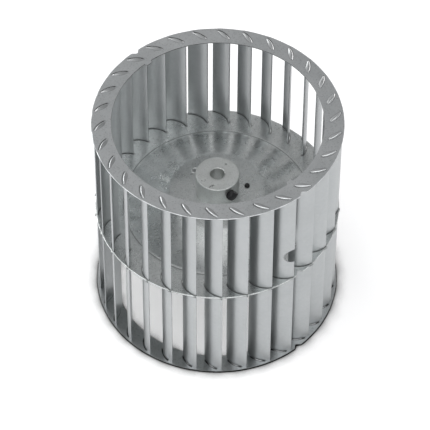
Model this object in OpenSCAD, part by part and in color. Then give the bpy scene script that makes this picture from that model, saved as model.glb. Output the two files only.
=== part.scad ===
// Double-inlet, forward-curved blower wheel, standing on its rear ring.
// +Z is the shaft axis and the origin is the centre of the rear ring's underside.

/* [Wheel] */
// Outer diameter of the end rings
wheel_d = 216; // [208:1:224]
// Height over both end rings
wheel_h = 214; // [190:1:230]
// Direction of the index notches, anticlockwise from +X
notch_angle = 132; // [131:1:133]

/* [Blades] */
// Number of blades
blade_count = 30; // [28:1:30]
// Thickness of the blade strip
blade_sheet = 0.8; // [0.6:0.1:1]
// Angle that a blade's arc turns through
blade_turn = 70; // [60:1:75]
// Angle from a blade's outer edge back to its inner edge
blade_lag = 8.9; // [8:0.1:10]
// Direction of the first blade's outer edge
first_blade_angle = 8.5; // [8:0.1:9]
// Radius of the rounded inner corners
blade_corner_r = 3.2; // [1:0.1:3.3]

/* [End rings] */
// Radial width of an end ring
ring_w = 17; // [16:0.5:18]
// Thickness of an end ring
ring_sheet = 1.2; // [0.8:0.1:1.6]

/* [Centre disc] */
// Height of the rim's upper face
disc_z = 105.9; // [90:0.1:115]
// Thickness of the disc
disc_sheet = 1.2; // [0.8:0.1:1.6]
// Rise of the dished centre above the rim
dish_rise = 16.5; // [12:0.5:20]
// Radius at which the cone starts
dish_foot_r = 80.5; // [78:0.5:82]
// Radius at which the cone meets the flat centre
dish_top_r = 42.5; // [38:0.5:46]
// Diameter of the small hole in the flat centre
plate_hole_d = 5.2; // [3:0.1:6]
// Diameter of the rivet's heads
rivet_head_d = 4.8; // [4.4:0.1:6]

/* [Hub] */
// Outer diameter of the hub
hub_d = 38.1; // [36:0.1:42]
// Height of the hub above the plate
hub_stand = 21.8; // [20:0.1:26]
// Diameter of the shaft bore
bore_d = 12.7; // [9.5:0.1:16]

/* [Set screw] */
// Direction of the screw, anticlockwise from +X
screw_angle = 306.5; // [305:0.5:310]
// Height of the screw above the plate
screw_over_plate = 12.6; // [12:0.1:13]
// Diameter over the thread
screw_d = 7.94; // [6:0.01:8]
// Width across the flats of the square head
head_flats = 7.94; // [7:0.01:9]
// Length of the head
head_l = 4; // [3:0.1:7]
// Direction of the tool access cut in the blades, anticlockwise from +X
access_angle = 308.5; // [308:0.5:309]
// Diameter of the tool access cut
access_d = 17; // [14:0.5:18]

/* [Hidden] */
$fn = 96;

wheel_r = wheel_d / 2;
ring_inner_r = wheel_r - ring_w;
notch_w = 7.6;
notch_depth = 3;
notch_floor_w = 1.4;
index_tab_w = 7;
index_tab_tip_w = 5;
index_tab_l = 2.8;

// Blade arc, worked out with the blade's outer edge on +X
blade_outer_r = wheel_r * 0.982;
blade_inner_r = wheel_r * 0.857;
blade_pitch = 360 / blade_count;
outer_edge = [blade_outer_r, 0];
inner_edge = blade_inner_r * [cos(blade_lag), -sin(blade_lag)];
chord = outer_edge - inner_edge;
chord_l = norm(chord);
arc_r = chord_l / (2 * sin(blade_turn / 2));
arc_normal = [-chord[1], chord[0]] / chord_l;
arc_centre = (outer_edge + inner_edge) / 2 + arc_normal * arc_r * cos(blade_turn / 2);
arc_start = atan2(inner_edge[1] - arc_centre[1], inner_edge[0] - arc_centre[0]);

// Tabs that pass through the rings, as angles along the blade's arc
tab_from = 12;
tab_to = 56;
shoulder_over = 5;
shoulder_reach = 2;
corner_reach = 3;
corner_sunk = 0.1;
slot_end_clear = 0.6;
// Clearance of the slots beside the blades, on the concave and on the convex side
ring_slot_clear = [0.1, 0.6];
disc_slot_clear = [0.6, 0.5];

// Dish profile
disc_r = wheel_r * 0.992;
dish_slope = atan2(dish_rise, dish_foot_r - dish_top_r);
bend_r = 4;
bend_steps = 4;
plate_z = disc_z + dish_rise;
plate_hole_at = [29.4, 131.6];

// Rivet through the flat centre
rivet_at = [26.4, 9.8];
rivet_r = 1.6;
rivet_clear = 0.05;
rivet_head_h = 2.1;
rivet_head_edge_h = 1.2;
rivet_crown_r = 1.5;
rivet_tail_h = 1;
rivet_tail_chamfer = 0.4;

// Hub
hub_r = hub_d / 2;
bore_r = bore_d / 2;
hub_chamfer = 0.6;
bore_chamfer = 0.5;
spigot_r = 12;
spigot_clear = 0.05;
swage_r = 15;
swage_t = 1.8;

// Set screw, along its own axis from the shaft's centre line
screw_z = plate_z + screw_over_plate;
screw_clear = 0.06;
tip_clear = 0.25;
tip_chamfer = 0.8;
head_gap = 0.6;
head_corner_r = 5.1;
head_chamfer = 0.7;
access_from = 60;

cut = 1;

function blade_name(k) = str("blade_", k < 10 ? "0" : "", k);
function blade_angle(k) = first_blade_angle + blade_pitch * (k - 1);
function arc_points(centre, r, from, to) = [
    for (i = [0 : bend_steps]) centre + r * [
        cos(from + (to - from) * i / bend_steps),
        sin(from + (to - from) * i / bend_steps)
    ]
];

// Curved wall that follows a blade's arc, between two angles along the arc
module blade_arc(from, to, inside, outside, h) {
    translate(concat(arc_centre, 0))
        rotate(arc_start + from)
            rotate_extrude(angle = to - from)
                translate([arc_r - inside, 0])
                    square([inside + outside, h]);
}

// One slot for every blade, cut through a sheet that lies from z = 0 to sheet
module blade_slots(from, to, clear, sheet) {
    for (k = [1 : blade_count])
        rotate(blade_angle(k))
            translate([0, 0, -cut])
                blade_arc(
                    from - slot_end_clear, to + slot_end_clear,
                    blade_sheet / 2 + clear[0], blade_sheet / 2 + clear[1],
                    sheet + 2 * cut
                );
}

// Index notches in an outer edge of radius r
module index_notches(r, sheet) {
    for (turn = [0, 180])
        rotate(notch_angle + turn)
            translate([r, 0, -cut])
                linear_extrude(sheet + 2 * cut)
                    polygon([
                        [cut, -notch_w / 2], [cut, notch_w / 2],
                        [-notch_depth, notch_floor_w / 2], [-notch_depth, -notch_floor_w / 2]
                    ]);
}

// Small tongues on a ring's inner edge, in line with its notches
module index_tabs() {
    for (turn = [0, 180])
        rotate(notch_angle + turn)
            translate([ring_inner_r, 0, 0])
                linear_extrude(ring_sheet)
                    polygon([
                        [cut, -index_tab_w / 2], [cut, index_tab_w / 2],
                        [-index_tab_l, index_tab_tip_w / 2], [-index_tab_l, -index_tab_tip_w / 2]
                    ]);
}

module end_ring() {
    difference() {
        cylinder(r = wheel_r, h = ring_sheet);
        translate([0, 0, -cut])
            cylinder(r = ring_inner_r, h = ring_sheet + 2 * cut);
        blade_slots(tab_from, tab_to, ring_slot_clear, ring_sheet);
        index_notches(wheel_r, ring_sheet);
    }
    index_tabs();
}

module front_ring() {
    color("silver")
        translate([0, 0, wheel_h - ring_sheet])
            end_ring();
}

module rear_ring() {
    color("silver")
        end_ring();
}

// Section of the dished disc, with the rim's upper face at z = 0
module disc_section() {
    foot = [dish_foot_r + bend_r * tan(dish_slope / 2), bend_r];
    crest_r = bend_r + disc_sheet;
    crest = [dish_top_r - crest_r * tan(dish_slope / 2), dish_rise - crest_r];
    hole_r = spigot_r + spigot_clear;
    polygon(concat(
        [[disc_r, 0]],
        arc_points(foot, bend_r, -90, -90 - dish_slope),
        arc_points(crest, crest_r, 90 - dish_slope, 90),
        [[hole_r, dish_rise], [hole_r, dish_rise - disc_sheet]],
        arc_points(crest, bend_r, 90, 90 - dish_slope),
        arc_points(foot, bend_r + disc_sheet, -90 - dish_slope, -90),
        [[disc_r, -disc_sheet]]
    ));
}

module centre_disc() {
    color("darkgray")
        translate([0, 0, disc_z])
            difference() {
                rotate_extrude()
                    disc_section();
                translate([0, 0, -disc_sheet]) {
                    blade_slots(0, blade_turn, disc_slot_clear, disc_sheet);
                    index_notches(disc_r, disc_sheet);
                }
                at_polar(plate_hole_at)
                    cylinder(d = plate_hole_d, h = dish_rise + cut);
                at_polar(rivet_at)
                    cylinder(r = rivet_r + rivet_clear, h = dish_rise + cut);
            }
}

// Places children at a radius and an angle
module at_polar(place) {
    rotate(place[1])
        translate([place[0], 0, 0])
            children();
}

// Rivet with a crowned head on the plate and a low formed head under it
module plate_rivet() {
    head_r = rivet_head_d / 2;
    under = -disc_sheet;
    color("dimgray")
        at_polar(rivet_at)
            translate([0, 0, plate_z])
                rotate_extrude()
                    polygon([
                        [0, rivet_head_h], [rivet_crown_r, rivet_head_h],
                        [head_r, rivet_head_edge_h], [head_r, 0], [rivet_r, 0],
                        [rivet_r, under], [head_r, under],
                        [head_r, under - rivet_tail_h + rivet_tail_chamfer],
                        [head_r - rivet_tail_chamfer, under - rivet_tail_h], [0, under - rivet_tail_h]
                    ]);
}

module hub() {
    top = hub_stand;
    under = -disc_sheet;
    base = under - swage_t;
    color("lightgray")
        difference() {
            translate([0, 0, plate_z])
                rotate_extrude()
                    polygon([
                        [bore_r, base + bore_chamfer], [bore_r + bore_chamfer, base],
                        [swage_r, base], [swage_r, under],
                        [spigot_r, under], [spigot_r, 0],
                        [hub_r, 0], [hub_r, top - hub_chamfer], [hub_r - hub_chamfer, top],
                        [bore_r + bore_chamfer, top], [bore_r, top - bore_chamfer]
                    ]);
            radially(screw_angle, 0)
                cylinder(d = screw_d + 2 * screw_clear, h = hub_r + cut);
        }
}

// Places children at the screw's height with their +Z pointing outward, at an angle and a distance from the shaft's centre line
module radially(angle, distance) {
    rotate(angle)
        translate([distance, 0, screw_z])
            rotate([0, 90, 0])
                children();
}

module set_screw() {
    tip_at = bore_r + tip_clear;
    head_at = hub_r + head_gap;
    color("dimgray") {
        radially(screw_angle, tip_at)
            cylinder(d1 = screw_d - 2 * tip_chamfer, d2 = screw_d, h = tip_chamfer);
        radially(screw_angle, tip_at + tip_chamfer)
            cylinder(d = screw_d, h = head_at - tip_at - tip_chamfer);
        radially(screw_angle, head_at)
            intersection() {
                rotate(45)
                    translate([-head_flats / 2, -head_flats / 2, 0])
                        cube([head_flats, head_flats, head_l]);
                union() {
                    cylinder(r = head_corner_r, h = head_l - head_chamfer);
                    translate([0, 0, head_l - head_chamfer])
                        cylinder(r1 = head_corner_r, r2 = head_corner_r - 2 * head_chamfer, h = head_chamfer);
                }
            }
    }
}

// What is cut from a blade's lower end: the shoulders beside the tab, and the rounded inner corner
module lower_end_cut() {
    translate([0, 0, -cut]) {
        blade_arc(-shoulder_over, tab_from, shoulder_reach, shoulder_reach, ring_sheet + cut);
        blade_arc(tab_to, blade_turn + shoulder_over, shoulder_reach, shoulder_reach, ring_sheet + cut);
    }
    corner_at = blade_corner_r - corner_sunk;
    translate(concat(arc_centre, 0))
        rotate(arc_start)
            translate([arc_r, 0, 0])
                difference() {
                    translate([-corner_reach, -cut, -cut])
                        cube([2 * corner_reach, cut + corner_at, cut + ring_sheet + corner_at]);
                    translate([-corner_reach - cut, corner_at, ring_sheet + corner_at])
                        rotate([0, 90, 0])
                            cylinder(r = blade_corner_r, h = 2 * (corner_reach + cut));
                }
}

// A blade with its outer edge on +X
module blade_blank() {
    difference() {
        blade_arc(0, blade_turn, blade_sheet / 2, blade_sheet / 2, wheel_h);
        lower_end_cut();
        translate([0, 0, wheel_h])
            mirror([0, 0, 1])
                lower_end_cut();
    }
}

module blade(k) {
    near_access = cos(blade_angle(k) - access_angle) > cos(1.2 * blade_pitch);
    color("gainsboro")
        difference() {
            rotate(blade_angle(k))
                blade_blank();
            if (near_access)
                radially(access_angle, access_from)
                    cylinder(d = access_d, h = wheel_r);
        }
}

front_ring();
rear_ring();
centre_disc();
plate_rivet();
hub();
set_screw();
for (k = [1 : blade_count])
    blade(k);
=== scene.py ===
"""Looks of the blower wheel: galvanised sheet metal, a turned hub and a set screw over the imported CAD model.

Each blade is a strip with a folded tab at each end. The rings and the disc are sheets slotted for the blades.
"""
from math import atan2, cos, degrees, hypot, pi, radians, sin, sqrt, tan

import bmesh
import bpy
import numpy as np
from mathutils import Matrix, Vector


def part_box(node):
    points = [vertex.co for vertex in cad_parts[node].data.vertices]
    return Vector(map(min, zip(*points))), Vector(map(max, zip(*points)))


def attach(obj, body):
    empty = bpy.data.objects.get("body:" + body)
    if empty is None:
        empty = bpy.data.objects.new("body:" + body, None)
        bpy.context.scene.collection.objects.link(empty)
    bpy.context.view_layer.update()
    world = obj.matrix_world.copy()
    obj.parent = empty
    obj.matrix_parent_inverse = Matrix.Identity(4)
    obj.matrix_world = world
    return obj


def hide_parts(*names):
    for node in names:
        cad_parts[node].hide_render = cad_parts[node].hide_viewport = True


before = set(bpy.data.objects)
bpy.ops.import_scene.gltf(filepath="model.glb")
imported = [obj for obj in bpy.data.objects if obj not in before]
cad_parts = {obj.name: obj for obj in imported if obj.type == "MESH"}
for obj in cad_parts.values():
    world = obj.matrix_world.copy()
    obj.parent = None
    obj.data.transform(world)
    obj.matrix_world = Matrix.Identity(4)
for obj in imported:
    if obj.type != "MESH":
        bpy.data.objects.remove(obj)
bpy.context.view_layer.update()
rng = np.random.default_rng(30)
MM = 0.001

# ---------------------------------------------------------------- measures, from the frame
disc_low, disc_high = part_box("centre_disc")
hub_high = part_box("hub")[1]
WHEEL_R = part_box("rear_ring")[1].x
WHEEL_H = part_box("front_ring")[1].z
DISC_R = WHEEL_R * 0.992
DISC_T = 1.2 * MM
DISC_Z = disc_low.z + DISC_T
PLATE_Z = disc_high.z
HUB_R = hub_high.x
HUB_TOP = hub_high.z

# ---------------------------------------------------------------- design values shared with the CAD
# Angles are in degrees. BLADE_TURN and the tab's ends are measured along a blade's arc from its inner edge,
# and a slot runs SLOT_END further at each end. The other angles are round the shaft.
BLADES = 30
PITCH = 360 / BLADES
FIRST_ANGLE = 8.5
BLADE_T = 0.8 * MM
BLADE_TURN = 70
BLADE_LAG = 8.9
BLADE_OUTER = WHEEL_R * 0.982
BLADE_INNER = WHEEL_R * 0.857
BLADE_CORNER = 3.2 * MM
TAB_FROM, TAB_TO = 12, 56
SLOT_END = 0.6
RING_INNER = WHEEL_R - 17 * MM
NOTCH_ANGLE = 132
NOTCH_HALF, NOTCH_FLOOR_HALF, NOTCH_DEPTH = 3.8 * MM, 0.7 * MM, 3 * MM
INDEX_HALF, INDEX_TIP_HALF, INDEX_L = 3.5 * MM, 2.5 * MM, 2.8 * MM
DISH_FOOT, DISH_TOP, DISH_BEND = 80.5 * MM, 42.5 * MM, 4 * MM
PLATE_HOLE_AT, PLATE_HOLE_R = (29.4 * MM, 131.6), 2.6 * MM
RIVET_AT, RIVET_R = (26.4 * MM, 9.8), 1.6 * MM
SPIGOT_R, SWAGE_R, SWAGE_T = 12 * MM, 15 * MM, 1.8 * MM
BORE_R, BORE_CHAMFER, HUB_CHAMFER = 6.35 * MM, 0.5 * MM, 0.6 * MM
SCREW_ANGLE = 306.5
SCREW_Z = PLATE_Z + 12.6 * MM
SCREW_R, SCREW_HOLE_R = 3.97 * MM, 4.03 * MM
ACCESS_ANGLE = FIRST_ANGLE + 25 * PITCH
ACCESS_R = 8.5 * MM

# ---------------------------------------------------------------- values of the visual model alone
# Clearance of a slot on a blade's concave and convex side
RING_SLOT_CLEAR = (0.1 * MM, 0.75 * MM)
DISC_SLOT_CLEAR = (0.25 * MM, 0.25 * MM)
CREST_BEND = 9 * MM
# How far in from the CAD's outer face a ring's sheet starts and ends; the folded tabs fill the first
PROUD, RING_UNDER = 0.9 * MM, 1.7 * MM
# A strip stops STUB_COVER under its folded tab, which bulges out of the slot and starts to bend FOLD_ROOT deep
STUB_COVER, FOLD_BULGE, FOLD_ROOT = 0.45 * MM, 0.25 * MM, 0.35 * MM
# The index notches reach in to NOTCHED_FROM
NOTCHED_FROM, EDGE_ROLL, SOFT_EDGE = 101 * MM, 0.3 * MM, 0.12 * MM
RIVET_HEAD_R = 2.4 * MM
SCREW_PITCH, THREAD_DEPTH, SCREW_AROUND = 1.41 * MM, 0.75 * MM, 48
SCREW_FLATS, SCREW_CORNER_R, SCREW_HEAD_L = 7.94 * MM, 5.1 * MM, 4 * MM
# Angle between faces, in degrees, above which an edge stays sharp
SHARP, SCREW_SHARP = 32, 40
# Least painted shade at the foot of an outer edge, standing for the shade under that edge
RIM_FOOT_SHADE = 0.7


def turned(x, y, angle):
    """A plan point turned anticlockwise about the shaft, in degrees."""
    c, s = np.cos(np.radians(angle)), np.sin(np.radians(angle))
    return c * x - s * y, s * x + c * y


def plan(r, angle):
    """The plan point at a radius and a direction in degrees."""
    return r * np.cos(np.radians(angle)), r * np.sin(np.radians(angle))


def solve_blade_arc():
    """Centre, radius and starting direction of a blade's arc, with the blade's outer edge on +X."""
    outer = np.array([BLADE_OUTER, 0])
    inner = BLADE_INNER * np.array([cos(radians(BLADE_LAG)), -sin(radians(BLADE_LAG))])
    chord = outer - inner
    length = hypot(*chord)
    radius = length / (2 * sin(radians(BLADE_TURN / 2)))
    normal = np.array([-chord[1], chord[0]]) / length
    centre = (outer + inner) / 2 + normal * radius * cos(radians(BLADE_TURN / 2))
    return centre, radius, degrees(atan2(inner[1] - centre[1], inner[0] - centre[0]))


ARC_CENTRE, ARC_R, ARC_START = solve_blade_arc()


def on_arc(along, off):
    """The plan point some degrees along a blade's arc, and some metres off it towards the convex side."""
    a = np.radians(ARC_START + np.asarray(along, float))
    r = ARC_R + np.asarray(off, float)
    return ARC_CENTRE[0] + r * np.cos(a), ARC_CENTRE[1] + r * np.sin(a)


def blade_angle(k):
    """Direction of blade k's outer edge."""
    return FIRST_ANGLE + PITCH * k


# ---------------------------------------------------------------- mesh helpers
def add_object(name, verts, faces, sharp=SHARP, painted_shade_and_grime=None):
    """An object from points and faces, without loose points, facing outward, smooth up to the sharp angle.

    The grime values, 0 to 1 for each point, are read by the materials as darkening: mostly painted shade in
    creases, slots and under edges, and some dirt.
    """
    verts = np.asarray(verts, float)
    used = np.unique(np.concatenate([np.asarray(f) for f in faces]))
    place = np.full(len(verts), -1)
    place[used] = np.arange(len(used))
    mesh = bpy.data.meshes.new(name)
    mesh.from_pydata(verts[used].tolist(), [], [[int(place[i]) for i in f] for f in faces])
    if painted_shade_and_grime is not None:
        layer = mesh.attributes.new("painted_shade_and_grime", "FLOAT", "POINT")
        layer.data.foreach_set("value", np.asarray(painted_shade_and_grime, np.float32)[used])
    bm = bmesh.new()
    bm.from_mesh(mesh)
    bmesh.ops.recalc_face_normals(bm, faces=bm.faces)
    bm.to_mesh(mesh)
    bm.free()
    mesh.shade_smooth()
    mesh.set_sharp_from_angle(angle=radians(sharp))
    obj = bpy.data.objects.new(name, mesh)
    bpy.context.scene.collection.objects.link(obj)
    return obj


def sheet(name, top, bottom, keep, closed=False, painted_shade_and_grime=None):
    """A sheet of metal from two grids of points, with walls wherever a kept cell meets a dropped one.

    A closed sheet goes all the way round. The grime values, mostly painted shade, go down the walls too, and
    the foot of the last row's wall is painted most of the way dark, as the shade under that edge.
    """
    nu, nv = top.shape[:2]
    cells = nu if closed else nu - 1
    number = np.arange(nu * nv).reshape(nu, nv)
    under = number + nu * nv
    faces = []

    def kept(i, j):
        if not 0 <= j < nv - 1:
            return False
        if closed:
            return keep[i % cells, j]
        return 0 <= i < cells and keep[i, j]

    def wall(a, b):
        faces.append((number[a], number[b], under[b], under[a]))

    for i in range(cells):
        n = (i + 1) % nu
        for j in range(nv - 1):
            if not kept(i, j):
                continue
            faces.append((number[i, j], number[n, j], number[n, j + 1], number[i, j + 1]))
            faces.append((under[i, j], under[i, j + 1], under[n, j + 1], under[n, j]))
            if not kept(i - 1, j):
                wall((i, j + 1), (i, j))
            if not kept(i + 1, j):
                wall((n, j), (n, j + 1))
            if not kept(i, j - 1):
                wall((i, j), (n, j))
            if not kept(i, j + 1):
                wall((n, j + 1), (i, j + 1))
    if painted_shade_and_grime is not None:
        below = painted_shade_and_grime.copy()
        # Painted shade: the foot of the last row's wall is darkened, as the shade under that edge
        below[:, -1] = np.maximum(below[:, -1], RIM_FOOT_SHADE)
        painted_shade_and_grime = np.concatenate([painted_shade_and_grime.reshape(-1), below.reshape(-1)])
    verts = np.concatenate([top.reshape(-1, 3), bottom.reshape(-1, 3)])
    return add_object(name, verts, faces, painted_shade_and_grime=painted_shade_and_grime)


def lathe(name, profile, around=128, shape=None):
    """A closed turned solid about the shaft axis, from a loop of (r, z) points.

    shape, if given, moves the points and returns them with a darkening value for each, read as painted shade
    and dirt.
    """
    profile = np.asarray(profile, float)
    a = np.linspace(0, 2 * pi, around, endpoint=False)
    r, z = profile[:, 0], profile[:, 1]
    pts = np.stack([np.outer(np.cos(a), r), np.outer(np.sin(a), r), np.broadcast_to(z, (around, len(z)))], -1)
    painted_shade_and_grime = None
    if shape is not None:
        pts, painted_shade_and_grime = shape(pts)
        painted_shade_and_grime = painted_shade_and_grime.reshape(-1)
    number = np.arange(around * len(r)).reshape(around, len(r))
    nxt = np.roll(number, -1, 0)
    faces = []
    for i in range(around):
        for j in range(len(r)):
            n = (j + 1) % len(r)
            faces.append((number[i, j], nxt[i, j], nxt[i, n], number[i, n]))
    return add_object(name, pts.reshape(-1, 3), faces, painted_shade_and_grime=painted_shade_and_grime)


def soften(obj, width, segments=2, angle=50):
    """Rounds an object's sharp edges."""
    bevel = obj.modifiers.new("soft_edges", "BEVEL")
    bevel.width = width
    bevel.segments = segments
    bevel.limit_method = "ANGLE"
    bevel.angle_limit = radians(angle)


def carve(obj, tool, operation="DIFFERENCE"):
    """Cuts tool out of obj, or with INTERSECT keeps only what lies inside it, and deletes tool."""
    cut = obj.modifiers.new("carve", "BOOLEAN")
    cut.operation = operation
    cut.object = tool
    cut.solver = "EXACT"
    bpy.context.view_layer.objects.active = obj
    bpy.ops.object.modifier_apply(modifier=cut.name)
    bpy.data.objects.remove(tool)
    obj.data.set_sharp_from_angle(angle=radians(SHARP))


def spread(*stops):
    """Numbers from stops of value, count, value and so on: count equal steps from each value to the next."""
    out = [stops[0]]
    for count, end in zip(stops[1::2], stops[2::2]):
        out += list(np.linspace(out[-1], end, count + 1)[1:])
    return np.array(out)


def hump(x):
    """0 at x = 0 and 1, and 1 half way; 0 outside."""
    return np.sin(pi * np.clip(x, 0, 1))


def bell(x, width):
    """1 at x = 0, falling to nearly nothing at twice the width on either side."""
    return np.exp(-(x / width) ** 2)


# ---------------------------------------------------------------- materials
def new_material(name):
    """A new material, its node tree and its shader."""
    mat = bpy.data.materials.new(name)
    mat.use_nodes = True
    tree = mat.node_tree
    return mat, tree, tree.nodes["Principled BSDF"]


def node(tree, kind, **settings):
    """A new node; each setting is an input's value or a property of the node."""
    n = tree.nodes.new(kind)
    for key, value in settings.items():
        if key in n.inputs.keys():
            n.inputs[key].default_value = value
        else:
            setattr(n, key, value)
    return n


def feed(tree, socket, value):
    """Gives a socket another node's output, or a plain value."""
    if isinstance(value, bpy.types.NodeSocket):
        tree.links.new(value, socket)
    else:
        socket.default_value = value


def arithmetic(tree, operation, *values, clamp=False):
    """A Math node fed with the values."""
    n = node(tree, "ShaderNodeMath", operation=operation, use_clamp=clamp)
    for socket, value in zip(n.inputs, values):
        feed(tree, socket, value)
    return n.outputs[0]


def mix_colours(tree, share, low, high):
    """Goes from the low colour to the high one as share goes from 0 to 1."""
    mix = node(tree, "ShaderNodeMix", data_type="RGBA", blend_type="MIX")
    # Of the Mix node's sockets, 0 is the share of two colours, and 6 and 7 are the colours
    for value, socket in ((share, 0), (low, 6), (high, 7)):
        feed(tree, mix.inputs[socket], value)
    return mix.outputs[2]


def texture(tree, kind, scale=(1, 1, 1), **settings):
    """A texture node in object coordinates, which are scaled per axis."""
    where = node(tree, "ShaderNodeTexCoord")
    mapping = node(tree, "ShaderNodeMapping")
    mapping.inputs["Scale"].default_value = scale
    tree.links.new(where.outputs["Object"], mapping.inputs["Vector"])
    pattern = node(tree, kind, **settings)
    tree.links.new(mapping.outputs["Vector"], pattern.inputs["Vector"])
    return pattern


def emboss(tree, shader, height, strength, distance):
    """Gives a shader the fine relief of a height value."""
    bumps = node(tree, "ShaderNodeBump", Strength=strength, Distance=distance)
    tree.links.new(height, bumps.inputs["Height"])
    tree.links.new(bumps.outputs["Normal"], shader.inputs["Normal"])


def ramp(tree, source, low, high, start=0.3, end=0.7):
    """Maps a 0 to 1 value between two numbers or colours."""
    n = node(tree, "ShaderNodeValToRGB")
    stops = n.color_ramp.elements
    stops[0].position, stops[1].position = start, end
    for stop, value in zip(stops, (low, high)):
        stop.color = (*value, 1) if isinstance(value, tuple) else (value, value, value, 1)
    tree.links.new(source, n.inputs["Fac"])
    return n.outputs["Color"]


def painted_shade_and_dirt(tree, colour, amount, specks, size):
    """Darkens a colour by the mesh's grime values, mostly painted shade, and by scattered specks; gives the
    colour and the darkening value.
    """
    layer = node(tree, "ShaderNodeAttribute", attribute_name="painted_shade_and_grime")
    spots = texture(tree, "ShaderNodeTexNoise", Scale=size, Detail=2, Roughness=0.7)
    scattered = ramp(tree, spots.outputs["Fac"], 0.0, specks, 0.55, 0.68)
    value = arithmetic(tree, "MAXIMUM", layer.outputs["Fac"], scattered)
    share = arithmetic(tree, "MULTIPLY", value, amount, clamp=True)
    return mix_colours(tree, share, colour, (0.05, 0.052, 0.05, 1)), value


def zinc(name, dark, light, rough, grain, bump, specks):
    """Galvanised steel: faint crystals, rolling grain along the stretched axes, scuffs, specks, and painted
    shade from grime.

    dark and light are the ends of its colour, and rough the ends of its roughness. grain is the grain's scale
    along each axis, bump the strength of the relief, and specks how dark the scattered specks are.
    """
    mat, tree, shader = new_material(name)
    shader.inputs["Metallic"].default_value = 1.0
    crystals = texture(tree, "ShaderNodeTexVoronoi", Scale=420)
    cloud = texture(tree, "ShaderNodeTexNoise", Scale=38, Detail=5, Roughness=0.6)
    streak = texture(tree, "ShaderNodeTexNoise", grain, Scale=1, Detail=4, Roughness=0.55)
    clouded = ramp(tree, cloud.outputs["Fac"], dark, light, 0.32, 0.68)
    spangled = ramp(tree, crystals.outputs["Color"], dark, light, 0.1, 0.9)
    colour, spots = painted_shade_and_dirt(tree, mix_colours(tree, 0.35, clouded, spangled), 0.95, specks, 800)
    feed(tree, shader.inputs["Base Color"], colour)
    # Half of the roughness follows the scuffs and half the grain, and the specks and painted shade are duller
    # still
    halves = [ramp(tree, t.outputs["Fac"], rough[0] * 0.5, rough[1] * 0.5) for t in (cloud, streak)]
    roughness = arithmetic(tree, "MULTIPLY_ADD", spots, 0.2, arithmetic(tree, "ADD", *halves))
    feed(tree, shader.inputs["Roughness"], roughness)
    relief = arithmetic(tree, "MULTIPLY_ADD", streak.outputs["Fac"], 0.6, cloud.outputs["Fac"])
    emboss(tree, shader, relief, bump, 0.0004)
    return mat


def turned_steel(name):
    """Zinc-plated turned steel with fine lathe rings."""
    mat, tree, shader = new_material(name)
    shader.inputs["Metallic"].default_value = 1.0
    rings = texture(tree, "ShaderNodeTexWave", wave_type="RINGS", rings_direction="Z",
                    Scale=900, Distortion=1.5, Detail=3)
    cloud = texture(tree, "ShaderNodeTexNoise", Scale=150, Detail=4)
    plating = ramp(tree, cloud.outputs["Fac"], (0.60, 0.62, 0.605), (0.66, 0.68, 0.67))
    # The hub's grime values darken it: painted shade in the punch pits, dirt in the chips
    feed(tree, shader.inputs["Base Color"], painted_shade_and_dirt(tree, plating, 0.85, 0.3, 1100)[0])
    feed(tree, shader.inputs["Roughness"], ramp(tree, cloud.outputs["Fac"], 0.36, 0.5))
    emboss(tree, shader, rings.outputs["Fac"], 0.12, 0.0001)
    return mat


def black_oxide(name):
    """Black oxide on a steel screw, lightly rubbed."""
    mat, tree, shader = new_material(name)
    shader.inputs["Metallic"].default_value = 0.3
    cloud = texture(tree, "ShaderNodeTexNoise", Scale=420, Detail=5)
    rubbed = ramp(tree, cloud.outputs["Fac"], (0.006, 0.006, 0.007), (0.02, 0.021, 0.023))
    feed(tree, shader.inputs["Base Color"], rubbed)
    feed(tree, shader.inputs["Roughness"], ramp(tree, cloud.outputs["Fac"], 0.3, 0.5))
    emboss(tree, shader, cloud.outputs["Fac"], 0.15, 0.0001)
    return mat


RING_ZINC = zinc("ring_zinc", dark=(0.50, 0.52, 0.525), light=(0.58, 0.595, 0.60), rough=(0.28, 0.38),
                 grain=(120, 120, 120), bump=0.14, specks=0.3)
TAB_ZINC = zinc("tab_zinc", dark=(0.53, 0.545, 0.55), light=(0.60, 0.615, 0.62), rough=(0.22, 0.32),
                grain=(300, 300, 300), bump=0.08, specks=0.3)
DISC_ZINC = zinc("disc_zinc", dark=(0.47, 0.495, 0.49), light=(0.66, 0.68, 0.675), rough=(0.22, 0.36),
                 grain=(90, 90, 90), bump=0.12, specks=0.35)
# The strips get a darker zinc than their own tabs, though both are one sheet: the difference is painted shade
SHADED_BLADE_ZINC = zinc("blade_zinc", dark=(0.40, 0.415, 0.42), light=(0.45, 0.465, 0.47), rough=(0.36, 0.44),
                  grain=(420, 420, 6), bump=0.012, specks=0.01)
HUB_STEEL = turned_steel("hub_steel")
BLACK_SCREW = black_oxide("black_screw")


def finish_piece(obj, material, body, replaced):
    """Gives a piece its material and the body it rides on, and hides the CAD node that it stands for."""
    obj.data.materials.clear()
    obj.data.materials.append(material)
    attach(obj, body)
    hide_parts(replaced)


# ---------------------------------------------------------------- blades
def access_half_height(x, y):
    """Half height of the tool access cut where a vertical line at a plan point meets it; 0 where it misses."""
    side = abs(-sin(radians(ACCESS_ANGLE)) * x + cos(radians(ACCESS_ANGLE)) * y)
    return sqrt(max(ACCESS_R ** 2 - side ** 2, 0))


def blade_rows(low, high, gap):
    """Heights up a blade: tab, plate up to the screw's height, plate above it, tab."""
    stub = PROUD + STUB_COVER
    return np.concatenate([
        [stub], spread(low, 5, low + BLADE_CORNER, 14, SCREW_Z - gap),
        spread(SCREW_Z + gap, 10, high - BLADE_CORNER, 5, high), [WHEEL_H - stub]
    ])


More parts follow.
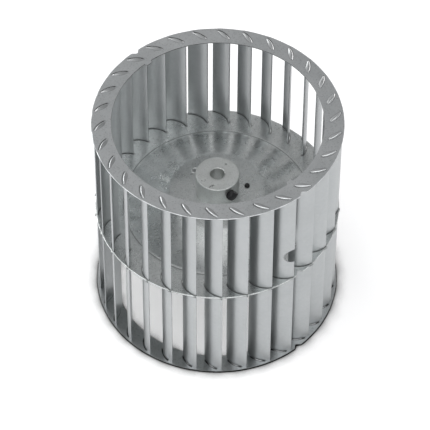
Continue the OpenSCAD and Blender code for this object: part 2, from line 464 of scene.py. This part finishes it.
def build_blade(k):
    """One curved strip with a stub of a tab at each end, rounded inner corners and the access cut."""
    angle = blade_angle(k)
    near_access = cos(radians(angle - ACCESS_ANGLE)) > cos(radians(1.2 * PITCH))
    fine = 3 if near_access else 1
    along = spread(0, 6 * fine, TAB_FROM, 18 * fine, TAB_TO, 6 * fine, BLADE_TURN)
    low, high, gap = RING_UNDER, WHEEL_H - RING_UNDER, 0.2 * MM
    rows = blade_rows(low, high, gap)
    cut_row = int(np.searchsorted(rows, SCREW_Z)) - 1
    nu, nv = len(along), len(rows)
    z = np.tile(rows, (nu, 1))
    keep = np.ones((nu - 1, nv - 1), bool)
    # The plate's rows, and those below and above the cut, with each row's share of the way from the ring
    plate = (rows >= low - 1e-9) & (rows <= high + 1e-9)
    below = (rows >= low) & (np.arange(nv) <= cut_row)
    above = (rows <= high) & (np.arange(nv) > cut_row)
    share = (rows - low) / (high - low)
    share_below = (rows - low) / (rows[cut_row] - low)
    share_above = (high - rows) / (high - rows[cut_row + 1])
    for i, a in enumerate(along):
        from_corner = max(BLADE_CORNER - radians(a) * ARC_R, 0)
        rounding = BLADE_CORNER - sqrt(max(BLADE_CORNER ** 2 - from_corner ** 2, 0))
        foot, head = low + rounding, high - rounding
        z[i, plate] = foot + (head - foot) * share[plate]
        x, y = turned(*on_arc(a, 0), angle)
        bite = access_half_height(x, y) if near_access and x * cos(radians(ACCESS_ANGLE)) > 0 else 0
        if bite > gap:
            z[i, below] = foot + (SCREW_Z - bite - foot) * share_below[below]
            z[i, above] = head - (head - SCREW_Z - bite) * share_above[above]
            keep[max(i - 1, 0):i + 1, cut_row] = False
    middle = (along[1:] + along[:-1]) / 2
    no_tab = (middle <= TAB_FROM) | (middle >= TAB_TO)
    keep[no_tab, 0] = keep[no_tab, -1] = False
    # A shallow, seeded wave down the strip, still at the rings and at the disc
    sway, ripple = 0.05 * MM * rng.normal(), 0.03 * MM * rng.normal()
    wave = sway * np.sin(pi * z / DISC_Z) + ripple * np.sin(2 * pi * z / DISC_Z)
    wave = wave * ((z > low) & (z < high))
    grid = np.tile(along[:, None], (1, nv))
    faces = []
    for side in (1, -1):
        x, y = turned(*on_arc(grid, side * BLADE_T / 2 + wave), angle)
        faces.append(np.stack([x, y, z], -1))
    name = "blade_%02d" % (k + 1)
    obj = sheet(name + "_strip", *faces, keep)
    soften(obj, SOFT_EDGE)
    finish_piece(obj, SHADED_BLADE_ZINC, "wheel", name)
    for end in ("front", "rear"):
        build_fold(angle, name, end)


def flap_reach(share):
    """How far a folded tab reaches over the ring, at a share of its length: widest near the wheel's axis."""
    return (0.45 + 2.4 * hump(np.clip(share, 0, 1) ** 0.75)) * MM


def build_fold(angle, name, end):
    """The end of a blade's tab: it bulges a little out of the slot and folds down over the concave side."""
    along = spread(TAB_FROM, 30, TAB_TO)
    share = (along - TAB_FROM) / (TAB_TO - TAB_FROM)
    taper = hump(share) ** 0.7
    bulge = FOLD_BULGE * taper
    even = np.zeros_like(share)
    half, overlap, foot = BLADE_T / 2, 0.02 * MM, -0.6 * MM
    bend_rows, flap_rows = 7, 8
    # Each row: the outside's offset from the arc and height over the ring's sheet, and the inside's
    rows = [(half - overlap + even, foot + even, overlap - half + even, foot + even)]
    for turn in np.radians(np.linspace(0, 90, bend_rows)):
        up = (PROUD + FOLD_ROOT) * sin(turn) - FOLD_ROOT
        out = half + bulge - (2 * half + bulge) * (1 - cos(turn))
        inside = overlap - half - 0.04 * MM * turn
        inside_up = -FOLD_ROOT + 0.29 * MM * sin(turn)
        rows.append((out, np.where(up > 0, up * taper, up), inside + even, inside_up + even))
    for g in np.linspace(0, 1, flap_rows + 1)[1:]:
        out = -half - (flap_reach(share) - half) * g
        up = PROUD * (1 - 0.88 * g ** 1.2) * taper
        rows.append((out, up, out, -0.06 * MM + even))
    out, top, inner, under = [np.stack(column, -1) for column in zip(*rows)]
    grid = np.tile(along[:, None], (1, len(rows)))
    faces = []
    for off, height in ((out, top), (inner, under)):
        x, y = turned(*on_arc(grid, off), angle)
        z = WHEEL_H - PROUD + height if end == "front" else PROUD - height
        faces.append(np.stack([x, y, z], -1))
    keep = np.ones((len(along) - 1, len(rows) - 1), bool)
    # Painted shade: the flap is darkened, the bend is not
    painted_flap_shade = np.repeat([0, 0.3, 0.35], [bend_rows, 1, flap_rows])
    obj = sheet(name + "_fold_" + end, *faces, keep, painted_shade_and_grime=np.tile(painted_flap_shade, (len(along), 1)))
    finish_piece(obj, TAB_ZINC, "wheel", name)


# ---------------------------------------------------------------- rings and disc
def notch_bite(x):
    """Depth of an index notch at a distance x round the edge from its middle."""
    return NOTCH_DEPTH * 0.97 * np.clip((NOTCH_HALF - np.abs(x)) / (NOTCH_HALF - NOTCH_FLOOR_HALF), 0, 1)


def index_tab(x):
    """Length of the small tongue on a ring's inner edge at a distance x from its middle."""
    return INDEX_L * np.clip((INDEX_HALF - np.abs(x)) / (INDEX_HALF - INDEX_TIP_HALF), 0, 1)


def from_notch(theta, r):
    """Distance round the wheel, at radius r, to the nearer of the two index notches."""
    turn = (theta - NOTCH_ANGLE + 90) % 180 - 90
    return np.radians(turn) * r


def slot_fade(share, steepness):
    """1 along a slot, fading to 0 at its ends, for a place or places along it from 0 to 1."""
    return np.clip(share * steepness + 0.5, 0, 1) * np.clip((1 - share) * steepness + 0.5, 0, 1)


def slotted_grid(slot, clear, beside, inner_r, outer_r, inner_rows, slot_rows, outer_rows, crowd):
    """Plan grid round the wheel that follows every blade slot's edges.

    slot is where the blade or tab in it starts and ends along the arc, clear is the clearance on the blade's
    concave and convex side, and beside the columns' distances from the slot on the concave side. A crowd
    under 1 draws the rows together at both edges.

    Returns theta and r for each (column, row), each column's offset from its blade's arc (nan between blades),
    each row's place along the slot (outside 0 to 1 beyond its ends), and the cells to keep.
    """
    concave, convex = -BLADE_T / 2 - clear[0], BLADE_T / 2 + clear[1]
    offsets = [2.1 * MM, 1.6 * MM, convex, concave] + [concave - d for d in beside]
    slot_column = offsets.index(convex)
    first, last = slot[0] - SLOT_END, slot[1] + SLOT_END
    at_slot = np.linspace(first, last, slot_rows + 1)
    along = np.concatenate([np.full(inner_rows, first), at_slot, np.full(outer_rows, last)])
    rising = np.linspace(0, 1, inner_rows, endpoint=False) ** (1 / crowd)
    share_in = np.concatenate([rising, np.ones(slot_rows + 1 + outer_rows)])
    rising = np.linspace(0, 1, outer_rows + 1)[1:] ** crowd
    share_out = np.concatenate([np.zeros(inner_rows + slot_rows + 1), rising])
    curves = []
    for off in offsets:
        x, y = on_arc(along, off)
        theta, r = np.degrees(np.arctan2(y, x)), np.hypot(x, y)
        r = inner_r + (r - inner_r) * share_in
        r = r + (outer_r - r) * share_out
        curves.append((theta, r))
    (t0, r0), (t1, r1) = curves[-1], curves[0]
    thetas, rs, offs, keep = [], [], [], []
    for k in range(BLADES):
        turn = blade_angle(k)
        for (theta, r), off in zip(curves, offsets):
            thetas.append(theta + turn)
            rs.append(r)
            offs.append(off)
        # Plain columns on to the next blade, closer together at an index notch
        middle = turn + PITCH / 2 - BLADE_LAG / 2
        near_notch = abs(float(from_notch(middle, 1.0))) < radians(PITCH)
        steps = 24 if near_notch else 12
        for step in range(1, steps):
            f = step / steps
            thetas.append((t0 + turn) * (1 - f) + (t1 + turn + PITCH) * f)
            rs.append(r0 * (1 - f) + r1 * f)
            offs.append(np.nan)
        cells = np.ones((len(offsets) + steps - 1, len(along) - 1), bool)
        cells[slot_column, inner_rows:inner_rows + slot_rows] = False
        keep.append(cells)
    place = (np.arange(len(along)) - inner_rows) / slot_rows
    return np.array(thetas), np.array(rs), np.array(offs, float), place, np.concatenate(keep)


def notched(theta, r, outer_r):
    """The radii with the rim pulled in at the index notches, and everything inside NOTCHED_FROM left alone."""
    bite = notch_bite(from_notch(theta, outer_r))
    return r - bite * np.clip((r - NOTCHED_FROM) / (outer_r - NOTCHED_FROM), 0, 1)


def build_ring(name, z_outer, up):
    """An end ring: slots for the blade tabs, with a crease round each folded tab, painted shade along the
    crease and the slots' convex edges, and a darkened inner edge.
    """
    beside = np.arange(1, 17) * 0.27 * MM
    theta, r, off, place, keep = slotted_grid(
        (TAB_FROM, TAB_TO), RING_SLOT_CLEAR, beside, RING_INNER, WHEEL_R, 5, 24, 8, crowd=0.5)
    r = notched(theta, r, WHEEL_R)
    tongue = index_tab(from_notch(theta, RING_INNER))
    r = r - tongue * np.clip(1 - (r - RING_INNER) / (3 * MM), 0, 1)
    off, share = off[:, None], place[None, :]
    ends = slot_fade(share, 12)
    from_flap = -off - flap_reach(share)
    from_slot = off - BLADE_T / 2 - RING_SLOT_CLEAR[1]
    # Painted shade: a dark line along each flap's edge in the crease, and along each slot's convex edge
    crease = np.nan_to_num(bell(from_flap - 0.15 * MM, 0.25 * MM) * ends)
    lip = np.nan_to_num(bell(from_slot, 0.5 * MM) * ends)
    painted_shade_and_grime = np.maximum(0.7 * crease, lip)
    # The outer edge is rolled, and the inner edge is darkened
    sunk = PROUD + 0.02 * MM * crease
    sunk[:, -1] += EDGE_ROLL
    painted_shade_and_grime[:, 0] = np.maximum(painted_shade_and_grime[:, 0], 0.75)
    side = 1 if up else -1
    x, y = plan(r, theta)
    outer = np.stack([x, y, z_outer - side * sunk], -1)
    inner = np.stack([x, y, np.full_like(x, z_outer - side * RING_UNDER)], -1)
    obj = sheet(name + "_pressing", outer, inner, keep, closed=True, painted_shade_and_grime=painted_shade_and_grime)
    soften(obj, SOFT_EDGE, angle=60)
    finish_piece(obj, RING_ZINC, "wheel", name)


def dish_section():
    """(r, z, normal r, normal z) from the hub's hole out to the cone's foot, on the disc's upper face."""
    rise = PLATE_Z - DISC_Z
    slope = atan2(rise, DISH_FOOT - DISH_TOP)
    crest = (DISH_TOP - CREST_BEND * tan(slope / 2), rise - CREST_BEND)
    foot = (DISH_FOOT + DISH_BEND * tan(slope / 2), DISH_BEND)
    flat = spread(SPIGOT_R + 0.05 * MM, 6, 24.5 * MM, 26, 34 * MM, 3, crest[0] - 0.5 * MM)
    points = [(r, rise, 0, 1) for r in flat]
    for a in np.linspace(0, slope, 7):
        points.append((crest[0] + CREST_BEND * sin(a), crest[1] + CREST_BEND * cos(a), sin(a), cos(a)))
    start = points[-1]
    end = (foot[0] - DISH_BEND * sin(slope), foot[1] - DISH_BEND * cos(slope))
    for f in np.linspace(0, 1, 16)[1:-1]:
        r, z = start[0] + (end[0] - start[0]) * f, start[1] + (end[1] - start[1]) * f
        points.append((r, z, sin(slope), cos(slope)))
    for a in np.linspace(slope, 0, 6):
        points.append((foot[0] - DISH_BEND * sin(a), foot[1] - DISH_BEND * cos(a), sin(a), cos(a)))
    for r in spread(foot[0] + 0.4 * MM, 3, foot[0] + 1.6 * MM, 3, foot[0] + 5 * MM):
        points.append((r, 0, 0, 1))
    points = np.array(points, float)
    # A shallow coined line just outside the cone's foot
    points[:, 1] -= 0.22 * MM * bell(points[:, 0] - foot[0] - 1.0 * MM, 0.45 * MM)
    return points


def rim_sunk(theta, r):
    """How far the disc's upper face sinks at the rim: crushed beside each blade, and rolled all round."""
    behind = (theta - FIRST_ANGLE - 1) % PITCH - PITCH + 1
    beyond = np.clip((r - (DISC_R - 0.8 * MM)) / (0.8 * MM), 0, 1)
    crushed = 0.9 * MM * beyond * np.exp(-((np.radians(behind) * r + 2.7 * MM) / (2.0 * MM)) ** 4)
    return np.maximum(crushed, EDGE_ROLL * np.clip((r - DISC_R) / EDGE_ROLL + 1, 0, 1))


def build_disc():
    """The dished centre disc, slotted for the blades, with its rim crushed a little beside each blade."""
    section = dish_section()
    inner_r = section[-1, 0] + 1.5 * MM
    beside = np.array([0.4, 0.9, 1.6, 2.5, 3.5]) * MM
    theta, r, off, place, keep = slotted_grid(
        (0, BLADE_TURN), DISC_SLOT_CLEAR, beside, inner_r, DISC_R, 3, 28, 5, crowd=0.6)
    r = notched(theta, r, DISC_R)
    sunk = rim_sunk(theta, r)
    # Painted shade along both edges of each slot
    slot_edge_shade = np.zeros_like(r)
    for edge in (BLADE_T / 2 + DISC_SLOT_CLEAR[1], -BLADE_T / 2 - DISC_SLOT_CLEAR[0]):
        near = np.nan_to_num(bell(off[:, None] - edge, 0.6 * MM))
        slot_edge_shade = np.maximum(slot_edge_shade, near * slot_fade(place[None, :], 14))
    # The dish carries every column on inwards
    around, dish = len(theta), len(section)

    def in_dish(values):
        return np.broadcast_to(values, (around, dish))

    r = np.concatenate([in_dish(section[:, 0]), r], 1)
    z = np.concatenate([in_dish(section[:, 1]), np.zeros_like(sunk)], 1)
    theta = np.concatenate([in_dish(theta[:, :1]), theta], 1)
    sunk = np.concatenate([in_dish(0.0), sunk], 1)
    keep = np.concatenate([in_dish(True), keep], 1)
    normal_r, normal_z = np.zeros_like(r), np.ones_like(r)
    normal_r[:, :dish], normal_z[:, :dish] = section[:, 2], section[:, 3]
    # Slight unevenness of the drawn sheet
    swell = np.sin(np.radians(3 * theta) + 0.7) + 0.6 * np.sin(np.radians(7 * theta) + 2.1)
    z = z + DISC_Z + 0.05 * MM * swell * hump((r - 20 * MM) / (70 * MM))
    # The burr that the punch left round the small hole
    hole_x, hole_y = plan(*PLATE_HOLE_AT)
    x, y = plan(r, theta)
    from_hole = np.hypot(x - hole_x, y - hole_y)
    z = z + 0.3 * MM * bell(from_hole - PLATE_HOLE_R - 0.4 * MM, 0.35 * MM)
    # A thin line of painted shade in the coined line at the cone's foot
    painted_shade_and_grime = 0.85 * bell(r - section[-1, 0] + 4 * MM, 0.35 * MM)
    painted_shade_and_grime[:, dish:] = np.maximum(painted_shade_and_grime[:, dish:], slot_edge_shade)

    def face(depth, fallen):
        x, y = plan(r - depth * normal_r, theta)
        return np.stack([x, y, z - depth * normal_z - fallen], -1)

    obj = sheet("centre_disc_pressing", face(0, sunk), face(DISC_T, 0), keep, closed=True, painted_shade_and_grime=painted_shade_and_grime)
    bpy.ops.mesh.primitive_cylinder_add(
        vertices=48, radius=PLATE_HOLE_R, depth=8 * MM, location=(hole_x, hole_y, PLATE_Z))
    carve(obj, bpy.context.object)
    soften(obj, SOFT_EDGE, angle=60)
    finish_piece(obj, DISC_ZINC, "wheel", "centre_disc")


def build_rivet():
    """The black rivet through the flat centre: a crowned head above, a low formed head below."""
    crown = [(0.01, 2.1), (0.8, 2.08), (1.3, 1.98), (1.7, 1.78), (2.05, 1.48), (2.28, 1.1), (2.4, 0.7)]
    profile = [(r * MM, z * MM) for r, z in crown] + [(RIVET_HEAD_R, 0.05 * MM), (RIVET_R, 0.0)]
    under, formed_h = -DISC_T, MM
    profile += [(RIVET_R, under), (RIVET_HEAD_R, under), (RIVET_HEAD_R, under - 0.6 * MM)]
    profile += [(2.0 * MM, under - formed_h), (0.01 * MM, under - formed_h)]
    obj = lathe("rivet", profile, 64)
    obj.data.transform(Matrix.Translation((*plan(*RIVET_AT), PLATE_Z)))
    soften(obj, 0.08 * MM)
    finish_piece(obj, BLACK_SCREW, "wheel", "plate_rivet")


# ---------------------------------------------------------------- hub and set screw
def build_hub():
    """The turned hub: chamfers, swaged collar, a few punch marks in its face, and the set screw's hole."""
    under = PLATE_Z - DISC_T
    base = under - SWAGE_T
    face = spread(HUB_R - HUB_CHAMFER, 44, BORE_R + BORE_CHAMFER)
    profile = [(BORE_R + BORE_CHAMFER, base), (SWAGE_R - HUB_CHAMFER, base), (SWAGE_R, base + HUB_CHAMFER)]
    profile += [(SWAGE_R, under), (SPIGOT_R, under), (SPIGOT_R, PLATE_Z), (HUB_R, PLATE_Z)]
    profile += [(HUB_R, HUB_TOP - HUB_CHAMFER)]
    profile += [(r, HUB_TOP) for r in face]
    profile += [(BORE_R, HUB_TOP - BORE_CHAMFER), (BORE_R, base + BORE_CHAMFER)]
    # Punch marks in the face: radius in mm, direction in degrees, size in mm
    pits = [(13.4, 56, 0.9),
            (13.3, 255.7, 0.7), (14.0, 251.5, 0.8), (15.4, 254.5, 0.5), (15.6, 247.5, 0.8), (16.9, 246.0, 0.6),
            (12.6, 213.4, 0.6), (14.0, 216.0, 0.5), (15.6, 210.8, 0.6)]

    def punch(points):
        top = points[..., 2] > HUB_TOP - 0.01 * MM
        mark = np.zeros(points.shape[:2])
        for r, angle, size in pits:
            x, y = plan(r * MM, angle)
            mark = np.maximum(mark, bell(np.hypot(points[..., 0] - x, points[..., 1] - y), size * MM))
        points[..., 2] -= top * 0.45 * MM * mark
        # Chips and dirt round the bore's edge
        r = np.hypot(points[..., 0], points[..., 1])
        chips = rng.random(points.shape[:2]) ** 3 * np.exp(-np.maximum(r - BORE_R - 0.6 * MM, 0) / (1.2 * MM))
        # The punch pits are painted dark, as the shade in them; the chips are dirt
        return points, top * np.maximum(mark, 0.7 * chips)

    obj = lathe("hub_turning", profile, 256, punch)
    bpy.ops.mesh.primitive_cylinder_add(vertices=64, radius=SCREW_HOLE_R, depth=2 * HUB_R)
    tool = bpy.context.object
    tool.rotation_euler = (0, radians(90), radians(SCREW_ANGLE))
    tool.location = (*plan(HUB_R, SCREW_ANGLE), SCREW_Z)
    bpy.context.view_layer.update()
    carve(obj, tool)
    soften(obj, 0.1 * MM, angle=40)
    finish_piece(obj, HUB_STEEL, "wheel", "hub")


def screw_shank(tip, head):
    """The screw's threaded shank, up along +Z from its cup point at tip into the head."""
    a = np.linspace(0, 2 * pi, SCREW_AROUND, endpoint=False)
    s = np.append(np.arange(0, head - tip, SCREW_PITCH / 12), head - tip + 0.3 * MM)
    phase = (s[None, :] / SCREW_PITCH - a[:, None] / (2 * pi)) % 1
    thread = THREAD_DEPTH * (1 - np.abs(2 * phase - 1))
    lead = 0.9 * MM * np.clip(1 - s / (1.0 * MM), 0, 1)
    radius = np.minimum(SCREW_R - thread, SCREW_R - lead[None, :])
    radius[:, s > head - tip - 1.2 * MM] = SCREW_R - THREAD_DEPTH
    x, y = radius * np.cos(a)[:, None], radius * np.sin(a)[:, None]
    points = np.stack([x, y, np.broadcast_to(tip + s, radius.shape)], -1)
    number = np.arange(radius.size).reshape(radius.shape)
    nxt = np.roll(number, -1, 0)
    faces = []
    for i in range(SCREW_AROUND):
        for j in range(len(s) - 1):
            faces.append((number[i, j], nxt[i, j], nxt[i, j + 1], number[i, j + 1]))
    # The cup point's lip and floor at the tip, and a flat cap inside the head
    verts = points.reshape(-1, 3).tolist()
    loops = [number[:, 0]]
    for scale, depth in ((0.62, 0), (0.3, 0.7 * MM)):
        loops.append(np.arange(len(verts), len(verts) + SCREW_AROUND))
        verts += [(px * scale, py * scale, tip + depth) for px, py, _ in points[:, 0]]
    for outer, inner in zip(loops, loops[1:]):
        for i in range(SCREW_AROUND):
            n = (i + 1) % SCREW_AROUND
            faces.append((outer[i], inner[i], inner[n], outer[n]))
    faces.append(tuple(loops[-1]))
    faces.append(tuple(number[::-1, -1]))
    return add_object("set_screw_shank", verts, faces, sharp=SCREW_SHARP)


def screw_head(base):
    """The screw's square head, up along +Z from base, with its corners and outer edge turned off."""
    top = base + SCREW_HEAD_L
    bm = bmesh.new()
    bmesh.ops.create_cube(bm, size=1)
    for v in bm.verts:
        v.co = Vector((v.co.x * SCREW_FLATS, v.co.y * SCREW_FLATS, base + SCREW_HEAD_L * (v.co.z + 0.5)))
    mesh = bpy.data.meshes.new("set_screw_head")
    bm.to_mesh(mesh)
    bm.free()
    square = bpy.data.objects.new("set_screw_head", mesh)
    bpy.context.scene.collection.objects.link(square)
    turning = [(0.01 * MM, base - MM), (SCREW_CORNER_R, base - MM), (SCREW_CORNER_R, top - 0.7 * MM),
               (SCREW_CORNER_R - 1.4 * MM, top), (0.01 * MM, top)]
    carve(square, lathe("chamfer", turning, 96), "INTERSECT")
    square.data.transform(Matrix.Rotation(radians(45), 4, "Z"))
    return square


def build_set_screw():
    """Square-head set screw: helical thread, cup point and chamfered head."""
    head = HUB_R + 0.6 * MM
    shank = screw_shank(BORE_R + 0.25 * MM, head)
    for part in (shank, screw_head(head)):
        part.select_set(True)
    bpy.context.view_layer.objects.active = shank
    bpy.ops.object.join()
    shank.name = "set_screw_body"
    outward = Matrix.Rotation(radians(SCREW_ANGLE), 4, "Z") @ Matrix.Rotation(radians(90), 4, "Y")
    shank.data.transform(Matrix.Translation((0, 0, SCREW_Z)) @ outward)
    shank.data.set_sharp_from_angle(angle=radians(SCREW_SHARP))
    soften(shank, 0.15 * MM, angle=55)
    finish_piece(shank, BLACK_SCREW, "screw", "set_screw")


# ---------------------------------------------------------------- stage, camera and light
def build_camera():
    """The camera: a long lens, far off, looking down on the wheel from the front."""
    elevation, roll = radians(50.64), radians(0.3)
    distance = 24.78 * WHEEL_R
    aim = Vector((-0.018 * WHEEL_R, 0, 0.8088 * WHEEL_R))
    data = bpy.data.cameras.new("camera")
    data.sensor_width = 36
    data.lens = 253.6
    camera = bpy.data.objects.new("camera", data)
    place = aim + distance * Vector((0, -cos(elevation), sin(elevation)))
    turn = Matrix.Rotation(pi / 2 - elevation, 4, "X") @ Matrix.Rotation(roll, 4, "Z")
    camera.matrix_world = Matrix.Translation(place) @ turn
    bpy.context.scene.collection.objects.link(camera)
    bpy.context.scene.camera = camera


def build_floor():
    """A pale floor that glows evenly, with a painted contact shadow: ambient occlusion near the wheel darkens
    its colour and glow.
    """
    bpy.ops.mesh.primitive_plane_add(size=30, location=(0, 0, 0))
    floor = bpy.context.object
    floor.name = "floor"
    mat, tree, shader = new_material("floor_white")
    near = node(tree, "ShaderNodeAmbientOcclusion", samples=16, Distance=0.022)
    # Painted shadow: the floor's colour and glow fall off with ambient occlusion near the wheel
    for socket, white in (("Base Color", 0.72), ("Emission Color", 1.0)):
        feed(tree, shader.inputs[socket], ramp(tree, near.outputs["AO"], 0.0, white, 0.58, 0.93))
    shader.inputs["Emission Strength"].default_value = 0.36
    shader.inputs["Roughness"].default_value = 0.9
    shader.inputs["Specular IOR Level"].default_value = 0.1
    floor.data.materials.append(mat)


def softbox(name, azimuth, elevation, distance, size, radiance):
    """A rectangular area light aimed at the wheel's middle; azimuth is anticlockwise from +X."""
    data = bpy.data.lights.new(name, "AREA")
    data.shape = "RECTANGLE"
    data.size, data.size_y = size
    data.energy = radiance * pi * size[0] * size[1]
    light = bpy.data.objects.new(name, data)
    a, e = radians(azimuth), radians(elevation)
    aim = Vector((0, 0, WHEEL_H / 2))
    light.location = aim + distance * Vector((cos(e) * cos(a), cos(e) * sin(a), sin(e)))
    light.rotation_euler = (aim - light.location).to_track_quat("-Z", "Y").to_euler()
    bpy.context.scene.collection.objects.link(light)


def dome(tree, height, greys):
    """A grey ramp over the height of a direction, from pairs of height and grey."""
    n = node(tree, "ShaderNodeValToRGB")
    stops = n.color_ramp.elements
    for _ in greys[2:]:
        stops.new(0.5)
    for stop, (place, grey) in zip(stops, greys):
        stop.position = place
        stop.color = (grey, grey, grey * 1.01, 1)
    tree.links.new(height, n.inputs["Fac"])
    return n.outputs["Color"]


def blend(tree, along, low, high, width):
    """Fades from one colour to another as a value goes from -width to width."""
    share = node(tree, "ShaderNodeMapRange")
    tree.links.new(along, share.inputs["Value"])
    share.inputs["From Min"].default_value, share.inputs["From Max"].default_value = -width, width
    return mix_colours(tree, share.outputs["Result"], low, high)


def build_world():
    """A studio dome: a bright soft band low in front of the wheel, grey overhead and behind."""
    world = bpy.data.worlds.new("studio")
    bpy.context.scene.world = world
    world.use_nodes = True
    tree = world.node_tree
    back = tree.nodes["Background"]
    back.inputs["Strength"].default_value = 3
    where = node(tree, "ShaderNodeTexCoord")
    split = node(tree, "ShaderNodeSeparateXYZ")
    tree.links.new(where.outputs["Generated"], split.inputs["Vector"])
    # Brightness of the dome against the sine of the elevation, in three directions
    height = split.outputs["Z"]
    front = dome(tree, height, ((0.0, 0.45), (0.27, 0.55), (0.37, 0.9), (0.6, 0.56), (1.0, 0.15)))
    rear_left = dome(tree, height, ((0.0, 0.22), (0.35, 0.29), (0.6, 0.09), (0.76, 0.235), (1.0, 0.22)))
    rear_right = dome(tree, height, ((0.0, 0.08), (0.35, 0.21), (0.6, 0.18), (0.76, 0.095), (1.0, 0.17)))
    rear = blend(tree, split.outputs["X"], rear_left, rear_right, 0.3)
    tree.links.new(blend(tree, split.outputs["Y"], front, rear, 0.35), back.inputs["Color"])


for k in range(BLADES):
    build_blade(k)
build_ring("rear_ring", 0.0, up=False)
build_ring("front_ring", WHEEL_H, up=True)
build_disc()
build_rivet()
build_hub()
build_set_screw()
build_camera()
build_floor()
build_world()
softbox("overhead_front", 270, 68, 2.2, (1.3, 1.0), 1.3)
softbox("left_fill", 190, 48, 2.4, (0.9, 1.2), 1.4)
softbox("left_back", 140, 26, 2.4, (1.8, 1.0), 3.6)
bpy.context.scene.view_settings.view_transform = "Standard"
